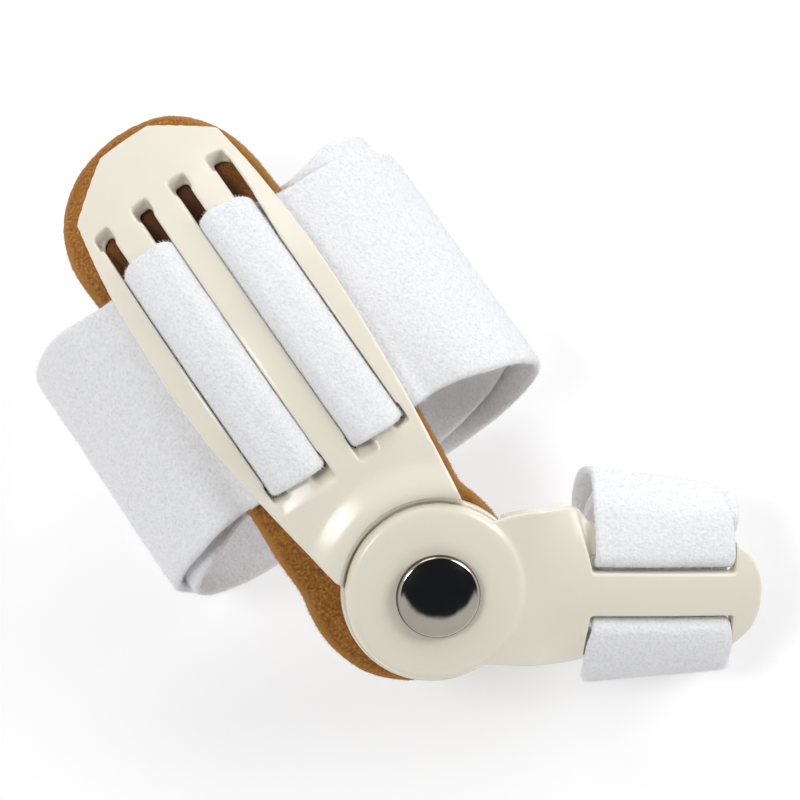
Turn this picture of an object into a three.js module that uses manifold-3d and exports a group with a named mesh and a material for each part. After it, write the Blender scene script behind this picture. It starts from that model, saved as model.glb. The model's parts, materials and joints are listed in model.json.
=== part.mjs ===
// A hinged bunion splint: an arched foot plate on a felt pad, a toe plate that turns on a domed rivet,
// a wide strap woven through the foot plate and a narrow strap behind the toe plate's bar.
// Millimetres, +Z up. It lies on its strap loops with the hinge raised.
import * as THREE from "three";
import { mergeVertices } from "three/addons/utils/BufferGeometryUtils.js";
import Module from "manifold-3d";

const wasm = await Module();
wasm.setup();

const DEG = Math.PI / 180;

// Pose
const LONG_HEADING = 124 * DEG; // plan direction of the foot plate, from +X
const HINGE_SLOPE = 26.2 * DEG; // rise of the foot plate away from the hinge
const TOE_TURN = 127.5 * DEG; // angle between the two plates at rest

// Clearance between neighbouring pieces
const GAP = 0.3;

// Each plate is flat at the hinge, then bends on an arch along its length and a crown across it.
const FOOT_ARM = { flat: 16, arch: 95, crown: 60, crownFrom: 17, crownTo: 42 };
const TOE_ARM = { flat: 18, arch: 300, crown: 32, crownFrom: 17, crownTo: 28 };

// Foot plate
const PLATE_T = 3.2;
const PLATE_BEVEL = 0.6;
const PLATE_LENGTH = 105.3;
const PLATE_TIP_HALF = 5.6;
const SHOULDER_R = 18.2;
const SHOULDER_T = 5.5;
const SHOULDER_RAMP = [19, 24, 28, 32, 37];
// distance from the pivot, half width
const PLATE_EDGE = [
  [8, 13],
  [21.5, 15],
  [32, 16.1],
  [44, 16.8],
  [61, 17.5],
  [80, 17.2],
  [96.6, 15.8],
];
const SLOT_FROM = 28.4;
const SLOT_TO = 89.5;
const SLOT_HALF = 1.3;
const SLOT_INNER = 4.15;
const SLOT_OUTER = 12.5;
const BAR_TOP = 2.0;

// Hinge
const LOWER_R = 17.2;
const LOWER_T = 2.6;
const DISC_R = 16.7;
const DISC_TOP = 5.4;
const POST_R = 3;
const HOLE_R = POST_R + GAP;
const CAP_R = 7.75;
const HEAD_R = 6.5;
const HEAD_T = 1.1;

// Toe plate
const TOE_BOTTOM = 0.8;
const TOE_TOP = 4.2;
const TOE_BEVEL = 0.8;
const TOE_SLOT = { from: 27.6, to: 56.8, inner: 4.1, outer: 6.9, railTop: 2.4 };
// distance from the pivot, upper half width, lower half width
const TOE_EDGE = [
  [4, 12, 12],
  [9.4, 13.4, 13.4],
  [13, 14.7, 13.6],
  [18, 15.6, 13.7],
  [25, 15.2, 13.4],
  [29, 12.8, 12.8],
  [50, 12.2, 12.5],
  [55, 10.6, 11.4],
  [58.6, 8, 8.8],
  [60.8, 4.6, 5.4],
];
const TOE_TIP = 61.6;

// Felt pad
const PAD_T = 4;
const PAD_ROUND = 1.4;
const PAD_DIP = 2.3;
// distance from the pivot, left edge, right edge
const PAD_EDGE = [
  [-16, 3, 1.8],
  [-14.6, 9.6, -4.8],
  [-11.5, 14.8, -10],
  [-6, 19.3, -14.5],
  [0, 21.3, -16.5],
  [4.5, 21.7, -16.9],
  [9, 21.2, -16.2],
  [12.6, 20.4, -15.2],
  [20, 20.3, -15.9],
  [32, 19.8, -17],
  [50, 19.8, -19],
  [68, 20.4, -19.4],
  [82, 21.4, -19.1],
  [94.5, 21.4, -17.9],
  [103.5, 18.3, -14.6],
  [109.6, 12, -9.2],
  [112, 4, -1.8],
];

// Straps. Each is one ribbon that turns twice round the foot or the toe. In each: woven corners
// (across, height, corner radius) on one side, which are mirrored, and points (across, height) that
// its inner turn and its outer turns pass through, from one end of the strap to the other.
const FOOT_STRAP = {
  width: 50,
  thick: 1.8,
  pressed: 0.3,
  centre: 55.3,
  skew: 0.05,
  taper: 0,
  lean: 0,
  twist: 0,
  inner: [
    [-4, -53.7, 0.3],
    [-11, -53.7, 0.9],
    [-19.5, -53.1, 1.7],
    [-28.5, -49, 2.6],
    [-35.2, -40, 3.6],
    [-37.2, -28.3, 4.4],
    [-33, -17.9, 4.2],
    [-26, -12.8, 4.9],
    [-18, -10.8, 4.6],
    [-9, -9, 3],
    [0, -8.2, 1.2],
    [9, -9, 0.2],
    [18, -10.8, -0.3],
    [26, -12.8, -0.4],
    [33, -17.9, -0.5],
    [37.2, -28.3, -0.5],
    [35.2, -40, -0.5],
    [28.5, -49, -0.4],
    [19.5, -53.1, -0.3],
    [11, -53.7, -0.2],
  ],
  outerUp: [
    [-3, -56.1],
    [-11, -56.1],
    [-20, -55.5],
    [-30, -51],
    [-37.6, -41],
    [-39.8, -28],
    [-35, -15],
    [-26.8, -7.2],
    [-18, -3.9],
  ],
  weave: [
    [18, -1.2, 0],
    [SLOT_OUTER, -1.2, 1.3],
    [SLOT_OUTER, 4.3, 2.9],
    [SLOT_INNER, 4.3, 2.9],
    [SLOT_INNER, -1.2, 1.3],
  ],
  outerDown: [
    [18, -3.9],
    [26.8, -7.2],
    [35, -15],
    [39.8, -28],
    [37.6, -41],
    [30, -51],
    [20, -55.5],
    [13.5, -56.1],
  ],
  along: 6,
  step: 8.4,
  hold: { across: [18, 33], height: [-40, -20] },
};
const TOE_STRAP = {
  width: 25.8,
  thick: 1.5,
  pressed: 0,
  centre: 42.4,
  skew: -0.02,
  taper: 0.0055,
  lean: 0.3,
  twist: 0.005,
  inner: [
    [15.4, -4.2, 2.16],
    [16.9, -6.6, 2.37],
    [17.5, -9.9, 2.45],
    [16.1, -14.1, 2.25],
    [12, -17.7, 1.68],
    [6.5, -19.4, 0.91],
    [0, -19.6, 0],
    [-6, -19.3, -0.84],
    [-11, -17.7, -1.54],
  ],
  outerUp: [
    [-16.2, -14.4],
    [-18.2, -9.8],
    [-17.1, -4.6],
    [-14.6, -0.2],
    [-12, 1.6],
  ],
  weave: [
    [12, 3.85, 0],
    [5.5, 3.85, 2.2],
    [5.5, -0.25, 1.1],
  ],
  outerDown: [
    [12, 1.6],
    [15, -0.2],
    [18.1, -4.6],
    [19.6, -9.8],
    [18.2, -15.3],
    [13.5, -19.6],
    [7, -21.6],
    [0, -21.8],
    [-7, -21.5],
  ],
  along: 4,
  step: 4.5,
  hold: { across: [12, 19], height: [-16, -8] },
};

// Colours from the photograph
const ivory = { color: 0xe6e0d0, roughness: 0.42, metalness: 0 };
const steel = { color: 0x9a9a98, roughness: 0.16, metalness: 1 };
const felt = { color: 0xa8691f, roughness: 0.95, metalness: 0 };
const plush = { color: 0xf1f1f4, roughness: 0.92, metalness: 0 };

// Solids

function asSolid(geometry) {
  const loose = geometry.index ? geometry.toNonIndexed() : geometry;
  const bare = new THREE.BufferGeometry();
  bare.setAttribute("position", loose.getAttribute("position"));
  const merged = mergeVertices(bare, 1e-4);
  return new wasm.Manifold(
    new wasm.Mesh({
      numProp: 3,
      vertProperties: merged.attributes.position.array,
      triVerts: new Uint32Array(merged.index.array),
    }),
  );
}

function asTriangles(solid) {
  const { vertProperties, triVerts, numProp } = solid.getMesh();
  const corner = (k) => new THREE.Vector3().fromArray(vertProperties, triVerts[k] * numProp);
  const list = [];
  for (let k = 0; k < triVerts.length; k += 3) list.push([corner(k), corner(k + 1), corner(k + 2)]);
  return list;
}

function asGeometry(triangles) {
  const geometry = new THREE.BufferGeometry().setFromPoints(triangles.flat());
  return mergeVertices(geometry, 1e-4);
}

// Cuts triangles along planes across one axis, so that their faces can follow a bend.
function slice(triangles, axis, values) {
  let list = triangles;
  for (const value of values) {
    const next = [];
    for (const triangle of list) {
      const above = [];
      const below = [];
      const side = triangle.map((p) => (Math.abs(p[axis] - value) < 1e-4 ? 0 : Math.sign(p[axis] - value)));
      for (let i = 0; i < 3; i += 1) {
        const j = (i + 1) % 3;
        if (side[i] >= 0) above.push(triangle[i]);
        if (side[i] <= 0) below.push(triangle[i]);
        if (side[i] * side[j] < 0) {
          const [low, high] = side[i] < 0 ? [triangle[i], triangle[j]] : [triangle[j], triangle[i]];
          const cut = low.clone().lerp(high, (value - low[axis]) / (high[axis] - low[axis]));
          cut[axis] = value;
          above.push(cut);
          below.push(cut);
        }
      }
      if (!(side.includes(1) && side.includes(-1))) {
        next.push(triangle);
      } else {
        for (const ring of [above, below])
          for (let i = 1; i < ring.length - 1; i += 1) next.push([ring[0], ring[i], ring[i + 1]]);
      }
    }
    list = next;
  }
  return list;
}

function steps(from, to, size) {
  const count = Math.ceil((to - from) / size);
  return Array.from({ length: count + 1 }, (_, i) => from + ((to - from) * i) / count);
}

function remap(triangles, move) {
  return triangles.map((triangle) => triangle.map((p) => move(p.x, p.y, p.z)));
}

// An outline extruded upwards from z = from, with its edges rounded over.
function rounded(shape, from, to, bevel) {
  const geometry = new THREE.ExtrudeGeometry(shape, {
    depth: to - from - 2 * bevel,
    bevelEnabled: true,
    bevelThickness: bevel,
    bevelSize: bevel,
    bevelOffset: -bevel,
    bevelSegments: 1,
  });
  return geometry.translate(0, 0, from + bevel);
}

// A closed profile of [radius, height] points turned about the Z axis.
function turned(profile, sides) {
  const points = profile.map(([r, z]) => new THREE.Vector2(r, z));
  return new THREE.LatheGeometry(points, sides).rotateX(Math.PI / 2);
}

// A profile in (along, height) carried across the plate between two offsets.
function across(points, from, to) {
  const shape = new THREE.Shape(points.map(([s, h]) => new THREE.Vector2(s, h)));
  const geometry = new THREE.ExtrudeGeometry(shape, { depth: to - from, bevelEnabled: false });
  return geometry.rotateX(Math.PI / 2).translate(0, to, 0);
}

// Closes a row of rings of equal count, each strip across the two end rings pairing opposite points.
function skin(rings) {
  const round = rings[0].length;
  const triangles = [];
  const quad = (a, b, c, d) => triangles.push([a, c, b], [a, d, c]);
  for (let i = 0; i < rings.length - 1; i += 1)
    for (let j = 0; j < round; j += 1) {
      const k = (j + 1) % round;
      quad(rings[i][j], rings[i][k], rings[i + 1][k], rings[i + 1][j]);
    }
  const first = rings[0];
  const last = rings[rings.length - 1];
  for (let j = 0; j < round / 2 - 1; j += 1) {
    quad(first[j + 1], first[j], first[round - 1 - j], first[round - 2 - j]);
    quad(last[j], last[j + 1], last[round - 2 - j], last[round - 1 - j]);
  }
  return asGeometry(triangles);
}

// Carries a flat point (along, across, height) onto a plate's arch and crown.
function crownDrop(arm, s, w) {
  return (THREE.MathUtils.smoothstep(s, arm.crownFrom, arm.crownTo) * w * w) / (2 * arm.crown);
}

function onArch(arm, s, w, h) {
  const turn = Math.max(s - arm.flat, 0) / arm.arch;
  const reach = arm.arch + h;
  return new THREE.Vector3(
    Math.min(s, arm.flat) + reach * Math.sin(turn),
    w,
    reach * Math.cos(turn) - arm.arch,
  );
}

function onArm(arm, s, w, h) {
  return onArch(arm, s, w, h - crownDrop(arm, s, w));
}

// Foot plate

// A slot's prism; the far outer corner of an outer slot is rounded off.
function slotCut(centre) {
  const side = Math.sign(centre);
  const shape = new THREE.Shape();
  const outer = centre + side * SLOT_HALF;
  const corner = Math.abs(centre) > 8 ? 1.8 : 0.4;
  shape.moveTo(SLOT_FROM, centre - SLOT_HALF * side);
  shape.lineTo(SLOT_TO, centre - SLOT_HALF * side);
  shape.lineTo(SLOT_TO, outer - side * corner);
  shape.quadraticCurveTo(SLOT_TO, outer, SLOT_TO - corner, outer);
  shape.lineTo(SLOT_FROM, outer);
  const geometry = new THREE.ExtrudeGeometry(shape, { depth: 14, bevelEnabled: false, curveSegments: 3 });
  return geometry.translate(0, 0, -4);
}

function footPlate() {
  const shape = new THREE.Shape();
  shape.moveTo(PLATE_EDGE[0][0], -PLATE_EDGE[0][1]);
  for (const [s, w] of PLATE_EDGE.slice(1)) shape.lineTo(s, -w);
  shape.lineTo(PLATE_LENGTH, -PLATE_TIP_HALF);
  shape.lineTo(PLATE_LENGTH, PLATE_TIP_HALF);
  for (const [s, w] of [...PLATE_EDGE].reverse()) shape.lineTo(s, w);

  // The plate thickens towards the shoulder that stands round the toe plate's disc.
  const blank = asTriangles(asSolid(rounded(shape, 0, PLATE_T, PLATE_BEVEL)));
  const first = SHOULDER_RAMP[0];
  const last = SHOULDER_RAMP[SHOULDER_RAMP.length - 1];
  const thicken = (s) => THREE.MathUtils.lerp(SHOULDER_T / PLATE_T, 1, THREE.MathUtils.smoothstep(s, first, last));
  const ramped = remap(slice(blank, "x", SHOULDER_RAMP), (s, w, h) => new THREE.Vector3(s, w, h * thicken(s)));
  let plate = asSolid(asGeometry(ramped));

  const bore = HEAD_R + GAP;
  const disc = turned(
    [
      [bore, 0],
      [LOWER_R - 0.4, 0],
      [LOWER_R, 0.4],
      [LOWER_R, LOWER_T - 0.4],
      [LOWER_R - 0.4, LOWER_T],
      [HOLE_R, LOWER_T],
      [HOLE_R, HEAD_T + 0.1 + GAP],
      [bore, HEAD_T + 0.1 + GAP],
      [bore, 0],
    ],
    36,
  );
  const nest = turned([[0, LOWER_T], [SHOULDER_R, LOWER_T], [SHOULDER_R, 9], [0, 9]], 48);
  plate = plate.subtract(asSolid(nest)).add(asSolid(disc));

  // Each pair of slots opens into a shallow pocket with sloping ends, and the bar lies at its floor.
  const pocket = [
    [SLOT_FROM + 1.5, BAR_TOP],
    [SLOT_TO - 1.5, BAR_TOP],
    [SLOT_TO + 1.5, PLATE_T + 1],
    [SLOT_TO + 1.5, PLATE_T + 4],
    [SLOT_FROM - 1.5, PLATE_T + 4],
    [SLOT_FROM - 1.5, PLATE_T + 1],
  ];
  const low = SLOT_INNER - SLOT_HALF - 0.2;
  const high = SLOT_OUTER + SLOT_HALF + 0.2;
  plate = plate.subtract(asSolid(across(pocket, low, high)));
  plate = plate.subtract(asSolid(across(pocket, -high, -low)));
  for (const side of [-1, 1])
    for (const centre of [SLOT_INNER, SLOT_OUTER]) plate = plate.subtract(asSolid(slotCut(side * centre)));

  let triangles = slice(asTriangles(plate), "x", steps(FOOT_ARM.flat, PLATE_LENGTH, 9.1));
  triangles = slice(triangles, "y", [-8.3, 0, 8.3]);
  return asGeometry(remap(triangles, (s, w, h) => onArm(FOOT_ARM, s, w, h)));
}

// Toe plate

function toePlate() {
  const shape = new THREE.Shape();
  shape.moveTo(TOE_EDGE[0][0], -TOE_EDGE[0][2]);
  for (const [s, , w] of TOE_EDGE.slice(1)) shape.lineTo(s, -w);
  shape.lineTo(TOE_TIP, -0.4);
  for (const [s, w] of [...TOE_EDGE].reverse()) shape.lineTo(s, w);
  let plate = asSolid(rounded(shape, TOE_BOTTOM, TOE_TOP, TOE_BEVEL));

  // Its side rails are lower than the bar, and its neck steps down round the lower disc.
  const block = (low, high) => [
    [TOE_SLOT.from, low],
    [TOE_SLOT.to, low],
    [TOE_SLOT.to, high],
    [TOE_SLOT.from, high],
  ];
  const rail = block(TOE_SLOT.railTop, TOE_TOP + 2);
  const slot = block(TOE_BOTTOM - 2, TOE_TOP + 2);
  plate = plate.subtract(asSolid(across(rail, TOE_SLOT.inner, 20)));
  plate = plate.subtract(asSolid(across(rail, -20, -TOE_SLOT.inner)));
  plate = plate.subtract(asSolid(across(slot, TOE_SLOT.inner, TOE_SLOT.outer)));
  plate = plate.subtract(asSolid(across(slot, -TOE_SLOT.outer, -TOE_SLOT.inner)));
  const floor = LOWER_T + GAP;
  const well = turned([[0, -2], [LOWER_R + 0.6, -2], [LOWER_R + 0.6, floor], [0, floor]], 36);
  plate = plate.subtract(asSolid(well));

  const disc = turned(
    [
      [0, floor],
      [DISC_R - 0.3, floor],
      [DISC_R, floor + 0.3],
      [DISC_R, floor + 1.1],
      [DISC_R - 0.5, floor + 1.75],
      [DISC_R - 1.5, floor + 2.1],
      [CAP_R + 1, DISC_TOP],
      [0, DISC_TOP],
    ],
    36,
  );
  const hole = turned([[0, -2], [HOLE_R, -2], [HOLE_R, 9], [0, 9]], 24);
  plate = plate.add(asSolid(disc)).subtract(asSolid(hole));

  let triangles = slice(asTriangles(plate), "x", steps(TOE_ARM.flat, TOE_TIP, 11));
  triangles = slice(triangles, "y", [-9, 0, 9]);
  return asGeometry(remap(triangles, (s, w, h) => onArm(TOE_ARM, s, w, h)));
}

// Rivet: back head, post and domed cap in one

function hingeRivet() {
  const seat = DISC_TOP + GAP;
  return turned(
    [
      [0, 0.1],
      [HEAD_R - 0.3, 0.1],
      [HEAD_R, 0.4],
      [HEAD_R, HEAD_T - 0.1],
      [HEAD_R - 0.3, HEAD_T + 0.1],
      [POST_R, HEAD_T + 0.1],
      [POST_R, seat],
      [CAP_R - 0.4, seat],
      [CAP_R, seat + 0.45],
      [CAP_R - 0.25, seat + 1],
      [CAP_R - 1.3, seat + 1.55],
      [CAP_R - 3.4, seat + 2],
      [0, seat + 2.3],
    ],
    28,
  );
}

// Felt pad: it dips under the strap and follows the plate's arch and crown

function footPad() {
  const edge = (column) => {
    const points = PAD_EDGE.map((row) => new THREE.Vector3(row[0], row[column], 0));
    return new THREE.CatmullRomCurve3(points, false, "catmullrom", 0.5).getPoints(2 * (PAD_EDGE.length - 1));
  };
  const left = edge(1);
  const right = edge(2);
  const half = FOOT_STRAP.width / 2 + 1;
  const near = FOOT_STRAP.centre - half;
  const far = FOOT_STRAP.centre + half;
  const { smoothstep } = THREE.MathUtils;
  const dip = (s) => PAD_DIP * smoothstep(s, near - 9, near) * (1 - smoothstep(s, far, far + 9));

  // Each ring runs over the top from left to right and back underneath, with its edges rounded.
  const rings = left.map((a, i) => {
    const b = right[i];
    const wide = a.y - b.y;
    const soft = Math.min(PAD_ROUND, wide * 0.3);
    const inset = [0, 0.3 * soft, soft, ...[0.25, 0.5, 0.75].map((k) => k * wide), wide - soft, wide - 0.3 * soft, wide];
    const sag = [0.5, 0.14, 0, 0, 0, 0, 0, 0.14, 0.5];
    const top = inset.map((d, k) => [a.y - d, -GAP - sag[k] * PAD_T]);
    const under = inset.map((d, k) => [a.y - d, -GAP - PAD_T + sag[k] * PAD_T]).slice(1, -1);
    return [...top, ...under.reverse()].map(([w, h]) => onArm(FOOT_ARM, a.x, w, h - dip(a.x)));
  });
  return skin(rings.reverse());
}

// Straps

// A path through corners with rounded turns, as points with a fixed number of steps to a turn.
function turns(corners) {
  const path = [];
  corners.forEach(([x, y, radius], i) => {
    const here = new THREE.Vector2(x, y);
    if (!radius) {
      path.push(here);
      return;
    }
    const back = new THREE.Vector2(...corners[i - 1].slice(0, 2)).sub(here).normalize();
    const on = new THREE.Vector2(...corners[i + 1].slice(0, 2)).sub(here).normalize();
    const half = Math.acos(THREE.MathUtils.clamp(back.dot(on), -1, 1)) / 2;
    const centre = back.clone().add(on).normalize().multiplyScalar(radius / Math.sin(half)).add(here);
    const start = back.multiplyScalar(radius / Math.tan(half)).add(here).sub(centre);
    const end = on.multiplyScalar(radius / Math.tan(half)).add(here).sub(centre);
    const sweep = Math.atan2(start.cross(end), start.dot(end));
    const count = radius > 2 ? 5 : 4;
    for (let k = 0; k <= count; k += 1)
      path.push(start.clone().rotateAround(new THREE.Vector2(), (sweep * k) / count).add(centre));
  });
  return path;
}

// The strap's whole path, from its inner end to its outer end. Each station has a place (across,
// height), how firmly it follows the plate, its shift along the plate, and the unit normal there.
function strapPath(strap) {
  const { smoothstep } = THREE.MathUtils;
  const follow = (w, h) =>
    (1 - smoothstep(Math.abs(w), ...strap.hold.across)) * smoothstep(h, ...strap.hold.height);
  const placed = (rows) =>
    rows.map(([w, h, shift = strap.skew * w]) => new THREE.Vector3(w, h, shift));
  const run = (points) => {
    const curve = new THREE.CatmullRomCurve3(points);
    const floor = Math.min(...points.map((p) => p.y));
    return curve.getSpacedPoints(Math.ceil(curve.getLength() / strap.step)).map((p) => ({
      place: new THREE.Vector2(p.x, Math.max(p.y, floor)),
      follow: follow(p.x, p.y),
      shift: p.z,
    }));
  };

  const up = run(placed([...strap.inner, ...strap.outerUp]));
  const down = run(placed(strap.outerDown));
  const near = strap.weave.map(([w, h, radius]) => [-w, h, radius]);
  const woven = turns([...near, ...[...strap.weave].reverse()]).map((place) => ({
    place,
    follow: 2,
    shift: strap.skew * place.x,
  }));

  const stations = [...up.slice(0, -1), ...woven, ...down.slice(1)];
  stations.forEach((station, i) => {
    const before = stations[Math.max(i - 1, 0)].place;
    const after = stations[Math.min(i + 1, stations.length - 1)].place;
    const t = after.clone().sub(before).normalize();
    station.normal = new THREE.Vector2(t.y, -t.x);
  });
  return stations;
}

// A ribbon swept along the stations. On the plate it follows the arch; on the free loop its lines
// along the plate are straight, in the directions forward and up, and its underside is pressed flat.
function ribbon(strap, arm, forward, up) {
  const origin = onArch(arm, strap.centre, 0, 0);
  const stations = strapPath(strap);
  const rest = Math.min(...stations.map((station) => station.place.y)) - strap.thick / 2 + strap.pressed;
  const carry = (station, w, h, v) => {
    const along = v + station.shift;
    if (station.follow > 1) return onArm(arm, strap.centre + along, w, h);
    const size = 1 - strap.taper * v;
    const lean = strap.lean - strap.twist * w;
    const free = origin.clone().addScaledVector(forward, along - lean * h).addScaledVector(up, h * size);
    free.y += w * size;
    return free.lerp(onArch(arm, strap.centre + along, w, h), station.follow);
  };
  const lines = stations.map((station) => {
    const faces = [1, -1].map((side) => {
      const q = station.place.clone().addScaledVector(station.normal, (side * strap.thick) / 2);
      const stops = steps(-strap.width / 2, strap.width / 2, strap.width / strap.along);
      return stops.map((v) => carry(station, q.x, Math.max(q.y, rest), v));
    });
    return [...faces[0], ...faces[1].reverse()];
  });

  return skin(lines);
}

// Scene graph

function piece(name, geometry, look) {
  const mesh = new THREE.Mesh(geometry, new THREE.MeshStandardMaterial(look));
  mesh.name = name;
  geometry.computeVertexNormals();
  return mesh;
}

// The surface's level and upward directions, seen from the hinge.
const level = new THREE.Vector3(Math.cos(HINGE_SLOPE), 0, -Math.sin(HINGE_SLOPE));
const upright = new THREE.Vector3(Math.sin(HINGE_SLOPE), 0, Math.cos(HINGE_SLOPE));

const toeTurn = Math.max(TOE_STRAP.centre - TOE_ARM.flat, 0) / TOE_ARM.arch;
const toeAlong = new THREE.Vector3(Math.cos(toeTurn), 0, -Math.sin(toeTurn));
const toeUp = new THREE.Vector3(Math.sin(toeTurn), 0, Math.cos(toeTurn));

const toe = new THREE.Group();
toe.rotation.z = -TOE_TURN;
toe.add(piece("toe_plate", toePlate(), ivory));
toe.add(piece("toe_strap", ribbon(TOE_STRAP, TOE_ARM, toeAlong, toeUp), plush));

const hinge = new THREE.Group();
hinge.rotation.y = -HINGE_SLOPE;
hinge.add(piece("foot_plate", footPlate(), ivory));
hinge.add(piece("foot_pad", footPad(), felt));
hinge.add(piece("hinge_rivet", hingeRivet(), steel));
hinge.add(piece("foot_strap", ribbon(FOOT_STRAP, FOOT_ARM, level, upright), plush));
hinge.add(toe);

const heading = new THREE.Group();
heading.rotation.z = LONG_HEADING;
heading.add(hinge);

// The origin is at the middle of the box's underside.
const splint = new THREE.Group();
splint.add(heading);
splint.updateMatrixWorld(true);
const box = new THREE.Box3().setFromObject(splint, true);
const middle = box.getCenter(new THREE.Vector3());
heading.position.set(-middle.x, -middle.y, -box.min.z);

export default splint;
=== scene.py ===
# %% [markdown]
# A hinged splint for the big toe
#
# The splint has two moulded plastic plates that turn on a polished rivet, a felt pad under the long
# plate, and two plush straps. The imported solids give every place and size. This lesson adds what
# the eye expects of the real thing: rounded moulded edges, brushed pile, felt and bright steel.

# %% Load the frame
import json
import math

import bmesh
import bpy
import numpy as np
from mathutils import Matrix, Vector


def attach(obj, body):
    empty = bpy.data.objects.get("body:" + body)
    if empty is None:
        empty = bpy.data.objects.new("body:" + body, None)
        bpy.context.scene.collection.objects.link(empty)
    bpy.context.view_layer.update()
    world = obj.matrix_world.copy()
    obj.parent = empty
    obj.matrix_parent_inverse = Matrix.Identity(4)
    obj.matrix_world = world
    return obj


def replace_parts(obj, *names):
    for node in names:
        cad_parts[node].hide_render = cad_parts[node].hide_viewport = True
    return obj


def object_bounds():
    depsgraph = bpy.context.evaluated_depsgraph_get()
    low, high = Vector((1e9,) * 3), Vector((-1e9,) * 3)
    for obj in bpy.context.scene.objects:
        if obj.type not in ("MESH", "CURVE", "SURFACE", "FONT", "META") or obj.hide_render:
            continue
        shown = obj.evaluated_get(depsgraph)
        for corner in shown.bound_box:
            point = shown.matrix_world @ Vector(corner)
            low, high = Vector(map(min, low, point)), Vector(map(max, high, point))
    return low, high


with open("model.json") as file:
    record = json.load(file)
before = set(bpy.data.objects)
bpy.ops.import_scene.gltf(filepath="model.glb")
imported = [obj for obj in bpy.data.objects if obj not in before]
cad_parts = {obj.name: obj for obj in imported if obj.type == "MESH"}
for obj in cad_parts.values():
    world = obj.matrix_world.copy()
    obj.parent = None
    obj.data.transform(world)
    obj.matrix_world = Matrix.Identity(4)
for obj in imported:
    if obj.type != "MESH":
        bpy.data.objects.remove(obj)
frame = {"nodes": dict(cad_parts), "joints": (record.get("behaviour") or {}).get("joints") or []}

cad_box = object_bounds()
print("nodes:", sorted(frame["nodes"]))
print("solid box, mm:", [round(1000 * (b - a), 1) for a, b in zip(*cad_box)])

# %% [markdown]
# The two plates share one hinge, so their sizes are easiest to write from the pivot: along the
# plate, across it, and up from it. The joint in the frame gives the pivot and the hinge's axis. The
# long plate climbs straight away from the way that the axis leans, which settles the other two
# directions, and the toe plate's are the same ones turned about the axis.

# %% The hinge's own directions
MM = 0.001
TOE_TURN = math.radians(127.5)

joint = frame["joints"][0]
PIVOT = np.array(joint["pos_m"])
HINGE_UP = np.array(joint["axis"]) / np.linalg.norm(joint["axis"])
uphill = np.array([-HINGE_UP[0], -HINGE_UP[1], 0.0])
ALONG = uphill - HINGE_UP * (uphill @ HINGE_UP)
ALONG /= np.linalg.norm(ALONG)
ASIDE = np.cross(HINGE_UP, ALONG)
FOOT_AXES = np.stack([ALONG, ASIDE, HINGE_UP])
TOE_AXES = np.stack([
    ALONG * math.cos(TOE_TURN) - ASIDE * math.sin(TOE_TURN),
    ALONG * math.sin(TOE_TURN) + ASIDE * math.cos(TOE_TURN),
    HINGE_UP,
])


def place(points, axes):
    """Points in millimetres from the pivot, as metres in the frame."""
    return PIVOT + MM * (points @ axes)


print("hinge leans", round(math.degrees(math.acos(HINGE_UP[2])), 1), "degrees from upright")

# %% [markdown]
# A moulded plate like this is drawn flat and then bent: it arches along its length to follow the
# foot, and it is crowned across. Working flat keeps every cut simple. The bend is one formula on
# the finished mesh, so the curved faces come out smooth however plain the flat blank was.

# %% The bend of each plate
FOOT_ARM = {"flat": 16.0, "arch": 95.0, "crown": 60.0, "crown_from": 17.0, "crown_to": 42.0}
TOE_ARM = {"flat": 18.0, "arch": 300.0, "crown": 32.0, "crown_from": 17.0, "crown_to": 28.0}


def ease(low, high, x):
    """A smooth step from 0 at low to 1 at high."""
    t = np.clip((x - low) / (high - low), 0.0, 1.0)
    return t * t * (3.0 - 2.0 * t)


def on_arch(arm, s, w, h):
    """A flat point (along, across, height) carried onto the plate's arch."""
    turn = np.maximum(s - arm["flat"], 0.0) / arm["arch"]
    reach = arm["arch"] + h
    x = np.minimum(s, arm["flat"]) + reach * np.sin(turn)
    return np.stack([x, w + 0.0 * x, reach * np.cos(turn) - arm["arch"]], -1)


def on_arm(arm, s, w, h):
    """The same, with the crown across the plate."""
    drop = ease(arm["crown_from"], arm["crown_to"], s) * w * w / (2.0 * arm["crown"])
    return on_arch(arm, s, w, h - drop)


print("arch radii, mm:", FOOT_ARM["arch"], TOE_ARM["arch"])

# %% [markdown]
# A few small tools do the flat work. Prisms and turned shapes are cut and joined, then a voxel
# remesh turns the result into an even skin, and a little smoothing rounds its edges as a mould
# would. A bevel on the cut mesh would trip over the slots; the remesh rounds every edge alike.


# %% Flat shapes, cuts and rounded skins
def new_piece(name, points, faces):
    """An object at the origin from points and faces."""
    mesh = bpy.data.meshes.new(name)
    mesh.from_pydata([tuple(p) for p in points], [], [tuple(f) for f in faces])
    mesh.update()
    piece = bpy.data.objects.new(name, mesh)
    bpy.context.scene.collection.objects.link(piece)
    return piece


def coordinates(piece):
    """The mesh's points as an array."""
    points = np.zeros(3 * len(piece.data.vertices))
    piece.data.vertices.foreach_get("co", points)
    return points.reshape(-1, 3)


def move_points(piece, points):
    """Sets the mesh's points and shades it smooth."""
    piece.data.vertices.foreach_set("co", np.asarray(points, float).ravel())
    piece.data.polygons.foreach_set("use_smooth", [True] * len(piece.data.polygons))
    piece.data.update()


def mark(piece, name, values):
    """Keeps a value at each point of the mesh, for a finish to read."""
    piece.data.attributes.new(name, "FLOAT", "POINT").data.foreach_set("value", values)


def settle(piece):
    """Turns a piece and its modifiers into a plain mesh."""
    graph = bpy.context.evaluated_depsgraph_get()
    mesh = bpy.data.meshes.new_from_object(piece.evaluated_get(graph))
    piece.modifiers.clear()
    piece.data = mesh
    return piece


def outward(piece):
    """Makes every face point out."""
    bm = bmesh.new()
    bm.from_mesh(piece.data)
    bmesh.ops.remove_doubles(bm, verts=bm.verts, dist=1e-5)
    bmesh.ops.recalc_face_normals(bm, faces=bm.faces)
    bm.to_mesh(piece.data)
    bm.free()
    return piece


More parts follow.
